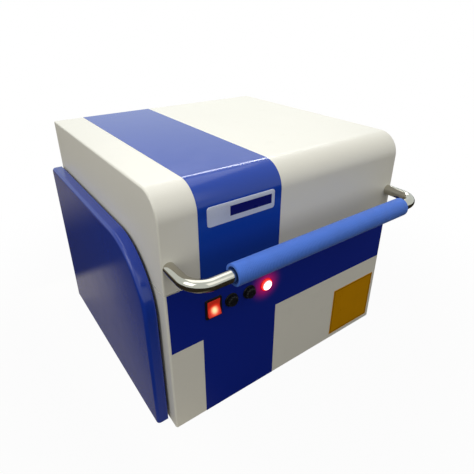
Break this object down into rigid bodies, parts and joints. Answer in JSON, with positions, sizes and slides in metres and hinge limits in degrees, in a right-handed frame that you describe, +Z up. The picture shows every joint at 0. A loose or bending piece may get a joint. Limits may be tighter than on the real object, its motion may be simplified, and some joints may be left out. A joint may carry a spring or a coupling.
{
  "type": "benchtop xrf analyzer",
  "caption": "Benchtop X-ray fluorescence analyser: cabinet with side panels, front controls and a rear-hinged hood with a bar handle over a shielded sample chamber.",
  "frame": {"origin": "on the bench, under the middle of the whole machine", "axes": "+Z up, the front with the handle and the controls faces -Y, the hinges are at +Y"},
  "size_m": [0.46, 0.4792, 0.3723],
  "materials": {
    "white_paint": "satin",
    "blue_paint": "gloss",
    "blue_moulding": "satin",
    "amber_film": "satin",
    "nameplate_metal": "brushed",
    "stainless": "polished",
    "blue_foam": "matte",
    "black_plastic": "satin",
    "red_lens": "gloss",
    "plated_steel": "satin",
    "anodised": "satin",
    "liner_steel": "satin",
    "seal_rubber": "matte",
    "foot_rubber": "matte",
    "window_film": "gloss",
    "lamp_white": "gloss",
    "brass_filters": "satin",
    "tube_paint": "satin",
    "board_green": "satin"
  },
  "bodies": {
    "cabinet": {"cabinet_shell": "white_paint", "chassis_pan": "plated_steel", "feet": "foot_rubber", "foot_screws": "plated_steel", "front_stripe": "blue_paint", "label_plate": "amber_film", "side_panel_left": "blue_moulding", "side_panel_right": "blue_moulding", "side_panel_screws": "plated_steel", "hinge_leaves_base": "stainless", "hinge_pins": "stainless", "hinge_screws_base": "plated_steel", "rocker_housing": "black_plastic", "fuse_holders": "black_plastic", "panel_nuts": "plated_steel", "lamp_bezel": "black_plastic", "lamp_lens": "red_lens", "deck_plate": "anodised", "chamber_gasket": "seal_rubber", "sample_plate": "anodised", "window_film": "window_film", "window_ring": "stainless", "interlock_switch": "black_plastic", "measuring_head": "anodised", "detector": "anodised", "detector_preamp": "anodised", "camera": "black_plastic", "filter_motor": "black_plastic", "motor_pedestal": "anodised", "xray_tube": "tube_paint", "tube_saddles": "anodised", "optics_bench": "anodised", "hv_supply": "tube_paint", "power_supply": "plated_steel", "pulse_board": "board_green", "rear_panel": "white_paint", "rear_panel_screws": "plated_steel", "mains_inlet": "black_plastic", "usb_port": "black_plastic", "fan_frame": "black_plastic", "fan_guard": "stainless"},
    "hood": {"hood_shell": "white_paint", "hood_stripe": "blue_paint", "nameplate": "nameplate_metal", "shield_liner": "liner_steel", "liner_screws": "plated_steel", "chamber_lamp": "lamp_white", "interlock_key": "plated_steel", "handle_tube": "stainless", "handle_inserts": "plated_steel", "handle_bolts": "plated_steel", "handle_grip": "blue_foam", "hinge_leaves_lid": "stainless", "hinge_screws_lid": "plated_steel"},
    "rocker": {"rocker_button": "red_lens"},
    "fuse_cap_a": {"fuse_cap_left": "black_plastic"},
    "fuse_cap_b": {"fuse_cap_right": "black_plastic"},
    "fan_wheel": {"fan_rotor": "black_plastic"},
    "filter_changer": {"filter_wheel": "anodised", "filter_foils": "brass_filters"}
  },
  "joints": [
    {"name": "hood_hinge", "type": "hinge", "parent": "cabinet", "child": "hood", "pos_m": [0, 0.23415, 0.24375], "axis": [-1, 0, 0], "range_deg": [0, 62]},
    {"name": "rocker_pivot", "type": "hinge", "parent": "cabinet", "child": "rocker", "pos_m": [-0.143, -0.16795, 0.197], "axis": [1, 0, 0], "range_deg": [0, 16]},
    {"name": "fuse_cap_left_turn", "type": "hinge", "parent": "cabinet", "child": "fuse_cap_a", "pos_m": [-0.1145, -0.17425, 0.197], "axis": [0, -1, 0], "range_deg": [-60, 0]},
    {"name": "fuse_cap_right_turn", "type": "hinge", "parent": "cabinet", "child": "fuse_cap_b", "pos_m": [-0.0845, -0.17425, 0.197], "axis": [0, -1, 0], "range_deg": [-60, 0]},
    {"name": "fan_spin", "type": "hinge", "parent": "cabinet", "child": "fan_wheel", "pos_m": [-0.095, 0.21585, 0.112], "axis": [0, -1, 0], "continuous": true},
    {"name": "filter_turn", "type": "hinge", "parent": "cabinet", "child": "filter_changer", "pos_m": [-0.048, 0.02835, 0.2], "axis": [0, 0, 1], "continuous": true}
  ]
}
